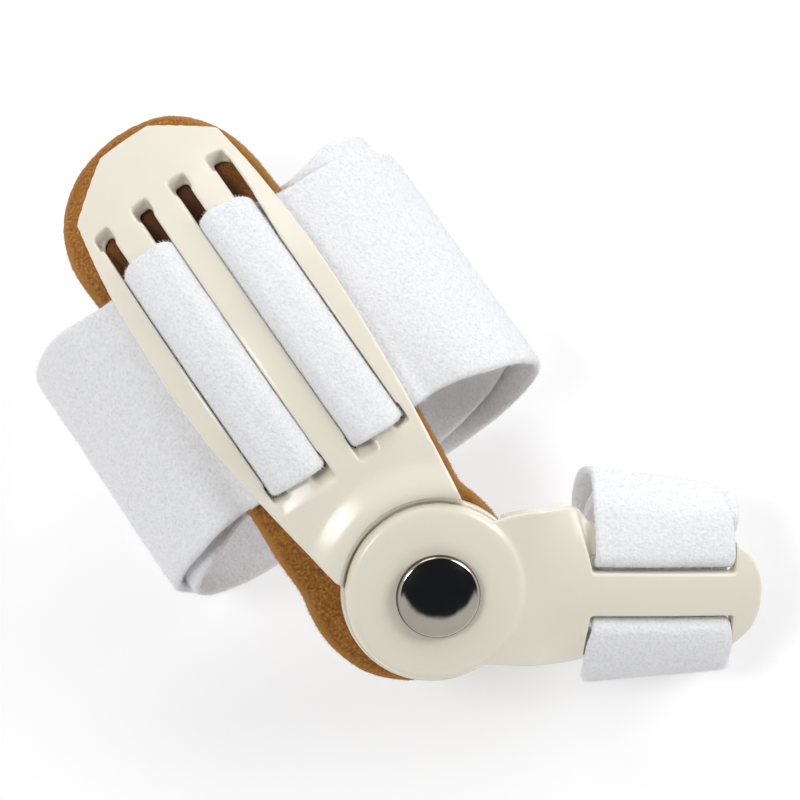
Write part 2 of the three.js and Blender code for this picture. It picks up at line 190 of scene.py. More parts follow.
def between_rings(name, first, second):
    """A closed solid between two rings that have as many points."""
    count = len(first)
    sides = [(i, (i + 1) % count, count + (i + 1) % count, count + i) for i in range(count)]
    return outward(new_piece(name, [*first, *second], [range(count), range(count, 2 * count), *sides]))


def prism(outline, low, high):
    """An outline in (along, across) carried up between two heights."""
    return between_rings("prism", *[[(x, y, z) for x, y in outline] for z in (low, high)])


def across(profile, low, high):
    """A profile in (along, height) carried across the plate between two offsets."""
    return between_rings("across", *[[(x, y, z) for x, z in profile] for y in (low, high)])


def turned(profile, sides=160):
    """A profile of (radius, height), from axis to axis, turned about the hinge."""
    angles = np.linspace(0.0, 2.0 * math.pi, sides, endpoint=False)
    points = [(r * math.cos(a), r * math.sin(a), z) for r, z in profile for a in angles]
    faces = []
    for i in range(len(profile) - 1):
        for k in range(sides):
            j = (k + 1) % sides
            faces.append((i * sides + k, i * sides + j, (i + 1) * sides + j, (i + 1) * sides + k))
    return outward(new_piece("turned", points, faces))


def combine(piece, tool, operation):
    """Cuts the tool from the piece, or joins it on."""
    step = piece.modifiers.new(operation.lower(), "BOOLEAN")
    step.operation = operation
    step.object = tool
    step.solver = "EXACT"
    settle(piece)
    bpy.data.objects.remove(tool)
    return piece


def moulded(piece, voxel, rounds):
    """An even skin over the piece, with its edges rounded."""
    skin = piece.modifiers.new("skin", "REMESH")
    skin.mode = "VOXEL"
    skin.voxel_size = voxel
    soften = piece.modifiers.new("soften", "SMOOTH")
    soften.factor = 0.5
    soften.iterations = rounds
    return settle(piece)


def curve_through(points, per_span):
    """A smooth curve through points, with as many steps to each span."""
    points = np.asarray(points, float)
    gaps = np.sqrt(np.linalg.norm(np.diff(points, axis=0), axis=1))
    slopes = np.gradient(points, np.concatenate([[0.0], np.cumsum(gaps)]), axis=0)
    t = np.linspace(0.0, 1.0, per_span, endpoint=False)[:, None]
    spans = []
    for i, gap in enumerate(gaps):
        start = (2 * t**3 - 3 * t**2 + 1) * points[i] + (t**3 - 2 * t**2 + t) * gap * slopes[i]
        end = (3 * t**2 - 2 * t**3) * points[i + 1] + (t**3 - t**2) * gap * slopes[i + 1]
        spans.append(start + end)
    return np.vstack([*spans, points[-1:]])


def lumps(points, size, seed, count=14):
    """Smooth uneven values about 0, from that many waves, with bumps of about that size in mm."""
    chance = np.random.default_rng(seed)
    waves = chance.normal(size=(count, 3))
    waves *= (2.0 * math.pi / size) * chance.uniform(0.6, 1.4, (count, 1))
    waves /= np.linalg.norm(chance.normal(size=(count, 3)), axis=1)[:, None]
    return np.sin(points @ waves.T + chance.uniform(0.0, 2.0 * math.pi, count)).mean(1)


# %% [markdown]
# The finishes come next, each a small node tree. Every pattern reads Object coordinates or an
# attribute of the mesh, in metres, so a scale of 1000 makes spots of about a millimetre.


# %% Node helpers
def finish_tree(name):
    """A new material with only its shader and output, and its tree."""
    material = bpy.data.materials.new(name)
    material.use_nodes = True
    tree = material.node_tree
    shader = tree.nodes["Principled BSDF"]
    return material, tree, shader


def spots(tree, vector, scale, detail):
    """A noise texture on the given coordinates."""
    node = tree.nodes.new("ShaderNodeTexNoise")
    node.inputs["Scale"].default_value = scale
    node.inputs["Detail"].default_value = detail
    tree.links.new(vector, node.inputs["Vector"])
    return node.outputs["Fac"]


def shades(tree, factor, stops):
    """A colour ramp with (place, colour) stops."""
    node = tree.nodes.new("ShaderNodeValToRGB")
    ramp = node.color_ramp
    ramp.elements[0].position, ramp.elements[1].position = stops[0][0], stops[-1][0]
    ramp.elements[0].color, ramp.elements[1].color = (*stops[0][1], 1.0), (*stops[-1][1], 1.0)
    for position, colour in stops[1:-1]:
        ramp.elements.new(position).color = (*colour, 1.0)
    tree.links.new(factor, node.inputs["Fac"])
    return node.outputs["Color"]


def between(tree, factor, low, high):
    """The factor carried from 0..1 to low..high."""
    node = tree.nodes.new("ShaderNodeMapRange")
    node.inputs["To Min"].default_value = low
    node.inputs["To Max"].default_value = high
    tree.links.new(factor, node.inputs["Value"])
    return node.outputs["Result"]


def raised(tree, height, depth, normal=None):
    """A bump of that height in metres."""
    node = tree.nodes.new("ShaderNodeBump")
    node.inputs["Distance"].default_value = depth
    tree.links.new(height, node.inputs["Height"])
    if normal is not None:
        tree.links.new(normal, node.inputs["Normal"])
    return node.outputs["Normal"]


def stretched(tree, vector, scale):
    """Coordinates scaled by a different amount each way."""
    node = tree.nodes.new("ShaderNodeMapping")
    node.inputs["Scale"].default_value = scale
    tree.links.new(vector, node.inputs["Vector"])
    return node.outputs["Vector"]


def object_coordinates(tree):
    """The piece's own coordinates, in metres."""
    return tree.nodes.new("ShaderNodeTexCoord").outputs["Object"]


def marked(tree, name):
    """The value that the mesh keeps at its points under that name."""
    node = tree.nodes.new("ShaderNodeAttribute")
    node.attribute_name = name
    return node.outputs["Fac"]


def mixed(tree, factor, low, high):
    """Two colours mixed by a factor."""
    node = tree.nodes.new("ShaderNodeMix")
    node.data_type = "RGBA"
    tree.links.new(factor, node.inputs[0])
    for socket, value in ((node.inputs[6], low), (node.inputs[7], high)):
        if isinstance(value, tuple):
            socket.default_value = (*value, 1.0)
        else:
            tree.links.new(value, socket)
    return node.outputs[2]


# %% [markdown]
# The plates are ivory plastic with a satin skin. Seen close, such a moulding has a very fine grain
# from the tool, a faint cloudiness in the colour, and light that sinks a little way in at thin
# edges. The cloudiness is broad and weak, and the grain is only a bump.


# %% Ivory plastic
def ivory_plastic():
    material, tree, shader = finish_tree("ivory_plastic")
    spot = object_coordinates(tree)
    cloud = spots(tree, spot, scale=60.0, detail=3.0)
    warm, cool = (0.80, 0.75, 0.635), (0.765, 0.725, 0.625)
    tree.links.new(shades(tree, cloud, [(0.3, cool), (0.7, warm)]), shader.inputs["Base Color"])
    smear = spots(tree, spot, scale=260.0, detail=4.0)
    tree.links.new(between(tree, smear, low=0.15, high=0.24), shader.inputs["Roughness"])
    grain = spots(tree, spot, scale=3200.0, detail=2.0)
    tree.links.new(raised(tree, grain, depth=0.00002), shader.inputs["Normal"])
    shader.inputs["Subsurface Weight"].default_value = 0.12
    shader.inputs["Subsurface Radius"].default_value = (1.0, 0.85, 0.6)
    shader.inputs["Subsurface Scale"].default_value = 0.0016
    shader.inputs["IOR"].default_value = 1.5
    return material


IVORY = ivory_plastic()
print("ivory plastic nodes:", len(IVORY.node_tree.nodes))

# %% [markdown]
# The foot plate starts as a flat blank. A ramp leaves it thicker round the hinge, where a shoulder
# stands round the toe plate's disc. Four slots let the strap through, in two pairs with a low bar
# between, and each slot ends in a short sloping recess so that the strap doesn't chafe. The plate
# could be modelled face by face, but cuts from a blank keep each size a number that can be changed.

# %% Foot plate sizes
PLATE_T = 3.2
PLATE_LENGTH = 105.3
PLATE_TIP_HALF = 5.6
# distance from the pivot, half width on the left and on the right
PLATE_EDGE = [
    (8, 13, 13), (21.5, 15.2, 15), (32, 16.8, 16.3), (39, 17.7, 16.9), (47, 18.5, 17.5),
    (57, 18.8, 18.0), (68, 18.5, 18.1), (77, 18.2, 17.7), (86, 17.4, 17.1), (96.6, 16.0, 16.0),
]
SHOULDER_R, SHOULDER_T = 18.9, 5.5
COLLAR_RISE, COLLAR_SPAN, RAMP_SPAN = 1.7, (19.0, 25.0), (20.0, 37.0)
NEST_R = 16.9
# the groove round the disc, from its floor to the shoulder: radius, height
GROOVE = [(NEST_R, 3.4), (17.6, 3.5), (18.0, 5.1)]
LOWER_R, LOWER_T = 17.2, 2.6
STRAP_CENTRE, STRAP_WIDTH, STRAP_SKEW = 55.3, 50.0, 0.05
SLOT_HALF, SLOT_ROOM = 1.3, 0.35
SLOT_INNER, SLOT_OUTER = 4.15, {1: 13.0, -1: 12.5}
INNER_END, OUTER_END = 90.3, 90.7
INNER_CORNER, OUTER_CORNER = 0.5, 2.0
# how far an outer slot opens past the strap, on the left and on the right, and where it does
SLOT_FLARE = {1: 0.0, -1: 0.7}
FLARE_FROM, FLARE_TO = 69.0, 81.0
# recesses: length, and how far each reaches past the slot's inner and outer sides
FAR_RECESS = (0.9, 0.5, 0.5)
INNER_RECESS, OUTER_RECESS = (3.0, 0.25, 1.0), (1.4, 0.25, 0.3)
RECESS_FLOOR, RECESS_EXIT, RECESS_BACK = 0.6, 0.6, 3
BAR_TOP = 2.0
BAR_NEAR, BAR_FAR = (25.5, 34.5), (78.5, 90.5)
# heights that are safely over and under a plate, and the overlap that keeps cuts clean
ROOF, CELLAR, OVERLAP = 9.0, -3.0, 0.02
PLATE_VOXEL = 0.32


def plate_top(r):
    """Height of the plate's upper face: a collar round the disc that runs out into the plate."""
    collar = COLLAR_RISE * (1 - ease(*COLLAR_SPAN, r))
    return PLATE_T + collar + (SHOULDER_T - PLATE_T - COLLAR_RISE) * (1 - ease(*RAMP_SPAN, r))


def slot_from(centre):
    """Where a slot starts, just past the strap's edge."""
    return STRAP_CENTRE - STRAP_WIDTH / 2 + STRAP_SKEW * centre - SLOT_ROOM


def slot_to(centre):
    """Where a slot ends near the tip; the outer ones reach a little further."""
    return INNER_END if abs(centre) == SLOT_INNER else OUTER_END


print("slots start at, mm:", [round(slot_from(w), 1) for w in (-SLOT_OUTER[-1], SLOT_OUTER[1])])


# %% Foot plate
def plate_blank():
    """The outline at full thickness, cut down all round to the collar."""
    left = curve_through([(s, w) for s, w, _ in PLATE_EDGE], per_span=10)
    right = curve_through([(s, -w) for s, _, w in PLATE_EDGE], per_span=10)
    tip = [(PLATE_LENGTH, PLATE_TIP_HALF), (PLATE_LENGTH, -PLATE_TIP_HALF)]
    outline = [*left, *tip, *right[::-1]]
    # The cutter runs from under the disc to well past the plate's end.
    r = np.linspace(10, RAMP_SPAN[1] + 1, 57)
    far = PLATE_LENGTH + 15
    above = [*zip(r, plate_top(r)), (far, PLATE_T), (far, ROOF), (r[0], ROOF), (r[0], SHOULDER_T)]
    return combine(prism(outline, 0.0, SHOULDER_T + OVERLAP), turned(above), "DIFFERENCE")


def slot_outline(centre):
    """One slot; an outer one may open past the strap, and its outer corner is rounded off."""
    side = math.copysign(1.0, centre)
    near, far = centre - side * SLOT_HALF, centre + side * SLOT_HALF
    outer = abs(centre) > SLOT_INNER
    corner = OUTER_CORNER if outer else INNER_CORNER
    wide = far + side * SLOT_FLARE[int(side)] * outer
    turn = np.radians(np.linspace(0, 90, 7))
    start, end = slot_from(centre), slot_to(centre)
    bend = [
        (end - corner * (1 - math.cos(a)), wide - side * corner * (1 - math.sin(a)))
        for a in turn
    ]
    return [(start, near), (end, near), *bend, (FLARE_TO, wide), (FLARE_FROM, far), (start, far)]


def recess(end, out, length, low, high):
    """A cutter that slopes up from a slot's end to the plate's face."""
    back, on = end - RECESS_BACK * out, end + out * length
    slope = [(back, RECESS_FLOOR), (end, RECESS_FLOOR), (on, plate_top(end) + RECESS_EXIT)]
    return across([*slope, (on, ROOF), (back, ROOF)], *sorted((low, high)))


def cut_slots(plate):
    """Cuts the dips of the bars, the recesses and the slots themselves."""
    s = np.linspace(BAR_NEAR[0], BAR_FAR[1], 80)
    sunk = ease(*BAR_NEAR, s) * (1 - ease(*BAR_FAR, s))
    bottom = plate_top(s) + OVERLAP - (plate_top(s) - BAR_TOP) * sunk
    dip = [*zip(s, bottom), (s[-1], ROOF), (s[0], ROOF)]
    for side in (-1, 1):
        low, high = sorted((side * (SLOT_INNER - SLOT_HALF), side * (SLOT_OUTER[side] + SLOT_HALF)))
        combine(plate, across(dip, low, high), "DIFFERENCE")
        for middle, near_recess in ((SLOT_INNER, INNER_RECESS), (SLOT_OUTER[side], OUTER_RECESS)):
            centre = side * middle
            inner, outer = side * (middle - SLOT_HALF), side * (middle + SLOT_HALF)
            ends = ((slot_to(centre), 1, FAR_RECESS), (slot_from(centre), -1, near_recess))
            for end, out, (length, inward, spread) in ends:
                cutter = recess(end, out, length, inner - inward * side, outer + spread * side)
                combine(plate, cutter, "DIFFERENCE")
            combine(plate, prism(slot_outline(centre), CELLAR, ROOF), "DIFFERENCE")
    return plate


foot_plate = plate_blank()
lip = [(NEST_R, LOWER_T), *GROOVE, (SHOULDER_R, SHOULDER_T), (SHOULDER_R, ROOF)]
combine(foot_plate, turned([(0, LOWER_T), *lip, (0, ROOF)]), "DIFFERENCE")
cut_slots(foot_plate)
combine(foot_plate, turned([(0, 0), (LOWER_R, 0), (LOWER_R, LOWER_T), (0, LOWER_T)]), "UNION")
moulded(foot_plate, PLATE_VOXEL, rounds=6)
move_points(foot_plate, place(on_arm(FOOT_ARM, *coordinates(foot_plate).T), FOOT_AXES))
foot_plate.name = "foot_plate_moulded"
foot_plate.data.materials.append(IVORY)
print("foot plate faces:", len(foot_plate.data.polygons))

# %% [markdown]
# The toe plate is made the same way: a disc that turns over the foot plate's, a neck that steps
# down from it, and a bar between two low side rails. The strap passes under the bar and over the
# rails, so the rails and the two slots are cut from the blank.

# %% Toe plate
TOE_BOTTOM, TOE_TOP = 0.8, 4.2
DISC_R, DISC_TOP = 16.7, 5.4
TURN_ROOM = 0.3
DISC_FLOOR = LOWER_T + TURN_ROOM
CAP_R = 7.75
TOE_TIP, TIP_ASIDE = 61.6, -0.4
# the near end of each slot, of the low rail at the plate's edge, and the far end of both
RAILS = {1: (28.9, 25.6, 56.3), -1: (28.9, 28.5, 56.6)}
RAIL_INNER, RAIL_OUTER, RAIL_TOP = 4.1, 6.9, 2.4
# where a rail's slanting near end starts, and an offset that is safely past the plate's edge
RAIL_SLANT, PAST_EDGE = 16, 30
WELL_ROOM = 0.6
RIM_R, RIM_DROP, FACE_R = 1.9, 0.35, CAP_R + 2
# distance from the pivot, upper half width, lower half width
TOE_EDGE = [
    (4, 12, 12),
    (9.4, 13.4, 13.4),
    (13, 14.7, 13.6),
    (18, 15.6, 13.7),
    (26, 15.3, 13.5),
    (29, 12.8, 12.8),
    (50, 12.2, 12.5),
    (55, 10.6, 11.4),
    (58.6, 8, 8.8),
    (60.8, 4.6, 5.4),
]


def toe_plate_blank():
    """The outline with its rails lowered, its slots cut and a well over the lower disc."""
    upper = [(s, w) for s, w, _ in TOE_EDGE]
    lower = [(s, -w) for s, _, w in TOE_EDGE]
    outline = curve_through([*upper, (TOE_TIP, TIP_ASIDE), *lower[::-1]], per_span=8)
    plate = prism(outline, TOE_BOTTOM, TOE_TOP)
    for side, (slot, edge, end) in RAILS.items():
        sink = [
            (slot, RAIL_INNER), (end, RAIL_INNER),
            (end, PAST_EDGE), (edge, PAST_EDGE), (edge, RAIL_SLANT),
        ]
        combine(plate, prism([(s, side * w) for s, w in sink], RAIL_TOP, ROOF), "DIFFERENCE")
        low, high = sorted((side * RAIL_INNER, side * RAIL_OUTER))
        through = [(slot, CELLAR), (end, CELLAR), (end, ROOF), (slot, ROOF)]
        combine(plate, across(through, low, high), "DIFFERENCE")
    r = LOWER_R + WELL_ROOM
    well = turned([(0, CELLAR), (r, CELLAR), (r, DISC_FLOOR), (0, DISC_FLOOR)])
    return combine(plate, well, "DIFFERENCE")


def toe_disc():
    """The disc: a rounded rim that stands over the neck, and a face that rises to the rivet."""
    turn = np.radians(np.linspace(0, 90, 9))
    side = [
        (DISC_R - RIM_R + RIM_R * math.cos(a), DISC_TOP - RIM_DROP - RIM_R + RIM_R * math.sin(a))
        for a in turn
    ]
    return turned([(0, DISC_FLOOR), (DISC_R, DISC_FLOOR), *side, (FACE_R, DISC_TOP), (0, DISC_TOP)])


toe_plate = combine(toe_plate_blank(), toe_disc(), "UNION")
moulded(toe_plate, PLATE_VOXEL, rounds=8)
move_points(toe_plate, place(on_arm(TOE_ARM, *coordinates(toe_plate).T), TOE_AXES))
toe_plate.name = "toe_plate_moulded"
toe_plate.data.materials.append(IVORY)
print("toe plate faces:", len(toe_plate.data.polygons))

# %% [markdown]
# The rivet's cap is a stamped dome with a rolled rim, polished like a mirror. A mirror shows the
# room more than itself, so the finish is simple: bright metal whose roughness varies a little, as
# if it had been handled; the crease under the rim is painted dark as shade. A squashed sphere
# would do for the dome alone; a turned profile gives dome, rim, post and back head as one closed
# shape.


# %% Polished steel and the rivet
def polished_steel():
    material, tree, shader = finish_tree("polished_steel")
    spot = object_coordinates(tree)
    smear = spots(tree, spot, scale=420.0, detail=5.0)
    tree.links.new(between(tree, smear, low=0.05, high=0.13), shader.inputs["Roughness"])
    tone = spots(tree, spot, scale=150.0, detail=2.0)
    bright = shades(tree, tone, [(0.3, (0.42, 0.395, 0.345)), (0.7, (0.48, 0.45, 0.395))])
    # painted shade: the crease under the rim is mixed towards a dark brown
    crease_shaded = mixed(tree, marked(tree, "crease"), bright, (0.105, 0.07, 0.052))
    tree.links.new(crease_shaded, shader.inputs["Base Color"])
    shader.inputs["Metallic"].default_value = 1.0
    return material


STEEL = polished_steel()
SEAT_GAP = 0.3
SEAT = DISC_TOP + SEAT_GAP
POST_R, HEAD_R, HEAD_T = 3.0, 6.5, 1.1
HEAD_LOW, HEAD_BEVEL, HEAD_SLOPE = 0.1, 0.3, 0.1
ROLL_R, ROLL_HEIGHT, ROLL_TUCK = 1.0, 0.77, 0.2
CAP_RISE, DOME_POWER = 1.15, 2.4
# heights above the seat below which the steel is painted dark as shade in the crease
CREASE_FROM, CREASE_TO = 1.3, 1.6

roll = np.radians(np.linspace(-50, 78, 14))
rim = [
    (CAP_R - ROLL_R + ROLL_R * math.cos(a), SEAT + ROLL_HEIGHT + ROLL_R * math.sin(a))
    for a in roll
]
edge_r, edge_z = rim[-1]
share = np.linspace(1.0, 0.0, 18)[1:]
dome = [(edge_r * k, edge_z + CAP_RISE * (1.0 - k**DOME_POWER)) for k in share]
head = [
    (0, HEAD_LOW), (HEAD_R - HEAD_BEVEL, HEAD_LOW), (HEAD_R, HEAD_LOW + HEAD_BEVEL),
    (HEAD_R, HEAD_T), (POST_R, HEAD_T + HEAD_SLOPE),
]
rivet = turned([*head, (POST_R, SEAT), (rim[0][0] - ROLL_TUCK, SEAT), *rim, *dome], sides=144)
turned_points = coordinates(rivet)
# how far each point lies in the crease under the rim, where shade is painted
crease_shade_share = 1 - ease(SEAT + CREASE_FROM, SEAT + CREASE_TO, turned_points[:, 2])
move_points(rivet, place(turned_points, FOOT_AXES))
mark(rivet, "crease", crease_shade_share)
rivet.name = "rivet_polished"
rivet.data.materials.append(STEEL)
print("rivet top above its seat, mm:", round(dome[-1][1] - SEAT, 2))

# %% [markdown]
# The pad is die cut from thick felt with a brushed face. It follows the plate's bend, dips a little
# where the strap runs over it, and its cut edge is paler and softer than its face. It could be
# sculpted, but a die-cut piece is an outline with a thickness, so a prism with a softened skin is
# nearer to how it is made. Felt has no weave: it is fibres lying every way, so its colour is
# several sizes of spots laid together. Where the plate lies over it, it is painted darker as shade.

# %% Pad sizes
PAD_T = 4.0
PAD_GAP = 0.3
PAD_DIP, DIP_MARGIN, DIP_RUN = 2.3, 1, 9
PAD_VOXEL = 0.55
# bands over which the cut edge's paler colour ends, and the plate's cover with its painted shade
# begins
RIM_BAND = (0.6, 1.7)
COVER_BAND, COVER_START = (0.0, 7.0), (18.0, 24.0)
# unevenness of the felt: height, size of the bumps, seed
SHAG = [(0.16, 1.6, 3), (0.25, 9.0, 4)]
# distance from the pivot, left edge, right edge
PAD_EDGE = [
    (-16, 3, 1.8),
    (-14.6, 9.6, -4.8),
    (-11.5, 14.8, -10),
    (-6, 19.3, -14.5),
    (0, 21.3, -16.5),
    (4.5, 21.7, -16.9),
    (9, 21.2, -16.2),
    (12.6, 20.4, -15.2),
    (20, 20.3, -15.9),
    (32, 19.8, -17),
    (50, 19.8, -19),
    (68, 20.4, -19.4),
    (82, 21.4, -19.1),
    (94.5, 21.4, -17.9),
    (103.5, 18.3, -14.6),
    (109.6, 12, -9.2),
    (112, 4, -1.8),
]
print("pad length, mm:", PAD_EDGE[-1][0] - PAD_EDGE[0][0])


# %% Felt
def tan_felt():
    material, tree, shader = finish_tree("tan_felt")
    spot = object_coordinates(tree)
    fibre = spots(tree, spot, scale=1900.0, detail=6.0)
    patch = spots(tree, spot, scale=180.0, detail=3.0)
    dark, tan, pale = (0.14, 0.055, 0.012), (0.33, 0.138, 0.028), (0.56, 0.285, 0.085)
    face = shades(tree, fibre, [(0.3, dark), (0.5, tan), (0.72, pale)])
    worn = shades(tree, patch, [(0.3, (0.31, 0.118, 0.021)), (0.7, (0.39, 0.162, 0.034))])
    worn_share = tree.nodes.new("ShaderNodeValue").outputs[0]
    worn_share.default_value = 0.3
    mixture = mixed(tree, worn_share, face, worn)
    edge = mixed(tree, marked(tree, "rim"), mixture, (0.40, 0.195, 0.055))
    # painted shade: felt under the plate, seen through the slots, is mixed towards a dark brown
    shaded_under_plate = mixed(tree, marked(tree, "covered"), edge, (0.115, 0.050, 0.026))
    tree.links.new(shaded_under_plate, shader.inputs["Base Color"])
    tree.links.new(raised(tree, fibre, depth=0.00022), shader.inputs["Normal"])
    shader.inputs["Roughness"].default_value = 0.95
    shader.inputs["Specular IOR Level"].default_value = 0.15
    shader.inputs["Sheen Weight"].default_value = 0.1
    shader.inputs["Sheen Tint"].default_value = (0.9, 0.6, 0.3, 1.0)
    return material


FELT = tan_felt()
print("felt nodes:", len(FELT.node_tree.nodes))


# %% Pad
def pad_dip(s):
    """How far the pad is pressed down, most where the strap crosses."""
    near = STRAP_CENTRE - STRAP_WIDTH / 2 - DIP_MARGIN
    far = STRAP_CENTRE + STRAP_WIDTH / 2 + DIP_MARGIN
    return PAD_DIP * ease(near - DIP_RUN, near, s) * (1 - ease(far, far + DIP_RUN, s))


def rim_share(flat, outline):
    """How near each point lies to the cut edge, from 0 inside to 1 at the edge."""
    nearest = np.full(len(flat), np.inf)
    for a in outline:
        nearest = np.minimum(nearest, np.hypot(flat[:, 0] - a[0], flat[:, 1] - a[1]))
    return 1 - ease(*RIM_BAND, nearest)


def covered_share(flat):
    """How deep under the plate each point of the upper face lies, where the felt is painted darker as
    shade.
    """
    tip = PLATE_TIP_HALF
    # Past the plate's end the half width drops below 0, so that nothing there counts as covered.
    edge = np.array([*PLATE_EDGE, (PLATE_LENGTH, tip, tip), (PLATE_LENGTH + 1, -9, -9)])
    left = np.interp(flat[:, 0], edge[:, 0], edge[:, 1]) - flat[:, 1]
    right = np.interp(flat[:, 0], edge[:, 0], edge[:, 2]) + flat[:, 1]
    inside = np.minimum(left, right)
    under = ease(*COVER_BAND, inside) * ease(*COVER_START, flat[:, 0])
    return under * (flat[:, 2] > -PAD_GAP - PAD_T / 2)


left = [(s, w) for s, w, _ in PAD_EDGE]
right = [(s, w) for s, _, w in PAD_EDGE]
pad_outline = curve_through([*left, *right[::-1], left[0]], per_span=12)[:-1]
foot_pad = moulded(prism(pad_outline, -PAD_GAP - PAD_T, -PAD_GAP), PAD_VOXEL, rounds=9)
flat = coordinates(foot_pad)
along, aside, height = flat.T
shaggy = sum(rise * lumps(flat, bump, seed) for rise, bump, seed in SHAG)
# The upper face only sinks, so that it never rises through the plate.
uneven = np.where(height < -PAD_T / 2, shaggy, -np.abs(shaggy))
bent = on_arm(FOOT_ARM, along, aside, height - pad_dip(along) + uneven)
move_points(foot_pad, place(bent, FOOT_AXES))
foot_pad.name = "foot_pad_felt"
mark(foot_pad, "rim", rim_share(flat, pad_outline))
mark(foot_pad, "covered", covered_share(flat))
foot_pad.data.materials.append(FELT)
print("pad faces:", len(foot_pad.data.polygons))

# %% [markdown]
# Both straps are plush tape with a short brushed pile. Each is one ribbon: it starts inside its own
# loop, winds round, weaves through the plate and laps over its first turn to its end. A cloth
# simulation would settle where it likes, while a pulled tape has one path through the slots. So
# the ribbon is swept along that path in short steps, with rounded edges and a slight unevenness.
# Its UV map runs along and across the tape, so that the brushing can follow the tape.

# %% Strap sizes
# pressed: how far the floor flattens the loop     in_slots: extra thickness of the rolls
# skew: shift along the plate per mm across        taper: narrowing of the loop per mm along
# lean, twist: slope of the loop along the plate   tuck: pull of the loop's depth to the hinge
# pinch: curl of the upper side's far edge         spread: widening of the lower side
# aside: how far the left outer corners move out   hold: where the plate starts to guide the loop
FOOT_STRAP = {
    "width": STRAP_WIDTH, "thick": 1.8, "pressed": 0.3, "centre": STRAP_CENTRE, "in_slots": 0.35,
    "skew": STRAP_SKEW, "taper": 0.0, "lean": 0.0, "twist": 0.0,
    "tuck": 0.0, "pinch": 0.0, "spread": 0.0, "aside": 0.5,
    "hold_across": (18, 33), "hold_height": (-40, -20),
    # inner turn: across, height, shift along the plate
    "inner": [
        (-4, -53.7, 0.3), (-11, -53.7, 0.9), (-19.5, -53.1, 1.7), (-28.5, -49, 2.6),
        (-35.2, -40, 3.6), (-37.2, -28.3, 4.8), (-33, -17.9, 4.1), (-26, -12.8, 3.6),
        (-18, -10.8, 4.4), (-9, -9, 3), (0, -8.2, 1.2), (9, -9, 0.2),
        (18, -10.8, -0.3), (26, -12.8, -0.4), (33, -17.9, -0.5), (37.2, -28.3, -0.5),
        (35.2, -40, -0.5), (28.5, -49, -0.4), (19.5, -53.1, -0.3), (11, -53.7, -0.2),
    ],
    # outer turn: across, height
    "outer_up": [
        (-3, -56.1), (-11, -56.1), (-20, -55.5), (-30, -51), (-37.6, -41),
        (-39.8, -28), (-35, -15), (-26.8, -7.2), (-18, -3.9),
    ],
    "outer_down": [
        (18, -3.9), (26.8, -7.2), (35, -15), (39.8, -28), (37.6, -41),
        (30, -51), (20, -55.5), (13.5, -56.1),
    ],
    # through the slots: across, height, corner radius
    "weave": [
        (18, -1.2, 0), (12.62, -1.2, 1.3), (12.62, 4.3, 2.9), (3.7, 4.5, 2.8), (4.03, -1.2, 1.3),
    ],
}
TOE_STRAP = {
    "width": 26.8, "thick": 1.5, "pressed": 0.0, "centre": 42.9, "in_slots": 0.0,
    "skew": -0.02, "taper": 0.0055, "lean": 0.3, "twist": 0.005,
    "tuck": 0.24, "pinch": 0.16, "spread": 0.06, "aside": 0.0,
    "hold_across": (12, 19), "hold_height": (-16, -8),
    "inner": [
        (10.4, -1.1, 1.5), (13.4, -1.9, 2.4), (14.6, -3.6, 3.1), (15.6, -5.8, 3.8),
        (16.3, -8.2, 4.3), (16.5, -10.6, 4.5), (15.4, -14.1, 3.4), (11.6, -17.7, 2.0),
        (6.5, -19.4, 0.9), (0, -19.6, 0), (-6, -19.3, -0.84), (-11, -17.7, -1.54),
    ],
    "outer_up": [(-16.2, -14.4), (-18.2, -9.8), (-17.1, -4.6), (-14.6, -0.2), (-12, 1.6)],
    "outer_down": [
        (12, 1.6), (14.8, -0.3), (17.4, -4.6), (18.8, -9.8), (17.5, -15.3),
        (13.1, -19.6), (7, -21.6), (0, -21.8), (-7, -21.5),
    ],
    "weave": [(12, 3.85, 0), (5.5, 3.85, 2.2), (5.5, -0.25, 1.1)],
}
# longest step along the tape and across it
STEP, CROSS_STEP = 1.5, 1.3
# the weave's corners in the outer slots, and where the extra thickness of the rolls runs out
OUTER_CORNERS, ROLL_END = (8, 15), (13.5, 17)
# where a loop's upper side, the curl of its edge and its lower side begin and are full
UPPER_SIDE, CURL_DEPTH, LOWER_SIDE, TUCK_DEPTH = (-6, 12), (-2, 10), (6, 11), 9
# unevenness of the tape's edges and faces: height, size of the bumps
EDGE_WAVE, FACE_LUMP = (0.22, 16.0), (0.16, 13.0)
# how much thinner the tape's two ends are, and how far apart its faces lie for the edges' wave
END_THINNING, FACES_APART = 0.45, 7.0
print("strap widths, mm:", FOOT_STRAP["width"], TOE_STRAP["width"])


# %% The strap's path
def rounded_path(corners):
    """A path through corners (across, height, radius) with round turns, in short steps."""
    corners = np.asarray(corners, float)
    path = [corners[0, :2]]
    for i in range(1, len(corners) - 1):
        here, radius = corners[i, :2], corners[i, 2]
        if radius == 0:
            path.append(here)
            continue
        back = corners[i - 1, :2] - here
        on = corners[i + 1, :2] - here
        back, on = back / np.linalg.norm(back), on / np.linalg.norm(on)
        half = math.acos(np.clip(back @ on, -1, 1)) / 2
        middle = (back + on) / np.linalg.norm(back + on)
        hub = here + middle * radius / math.sin(half)
        reach = math.pi / 2 - half
        side = on - middle * (on @ middle)
        side /= np.linalg.norm(side)
        for a in np.linspace(-reach, reach, 9):
            path.append(hub + radius * (side * math.sin(a) - middle * math.cos(a)))
    return finely(np.array([*path, corners[-1, :2]]))


def finely(path):
    """The same path with no step longer than STEP."""
    made = [path[:1]]
    for a, b in zip(path[:-1], path[1:]):
        count = max(1, math.ceil(np.linalg.norm(b - a) / STEP))
        made.append(a + (b - a) * (np.arange(1, count + 1) / count)[:, None])
    return np.vstack(made)


def measured(curve):
    """Distance along a curve at each of its points."""
    return np.concatenate([[0.0], np.cumsum(np.linalg.norm(np.diff(curve, axis=0), axis=1))])


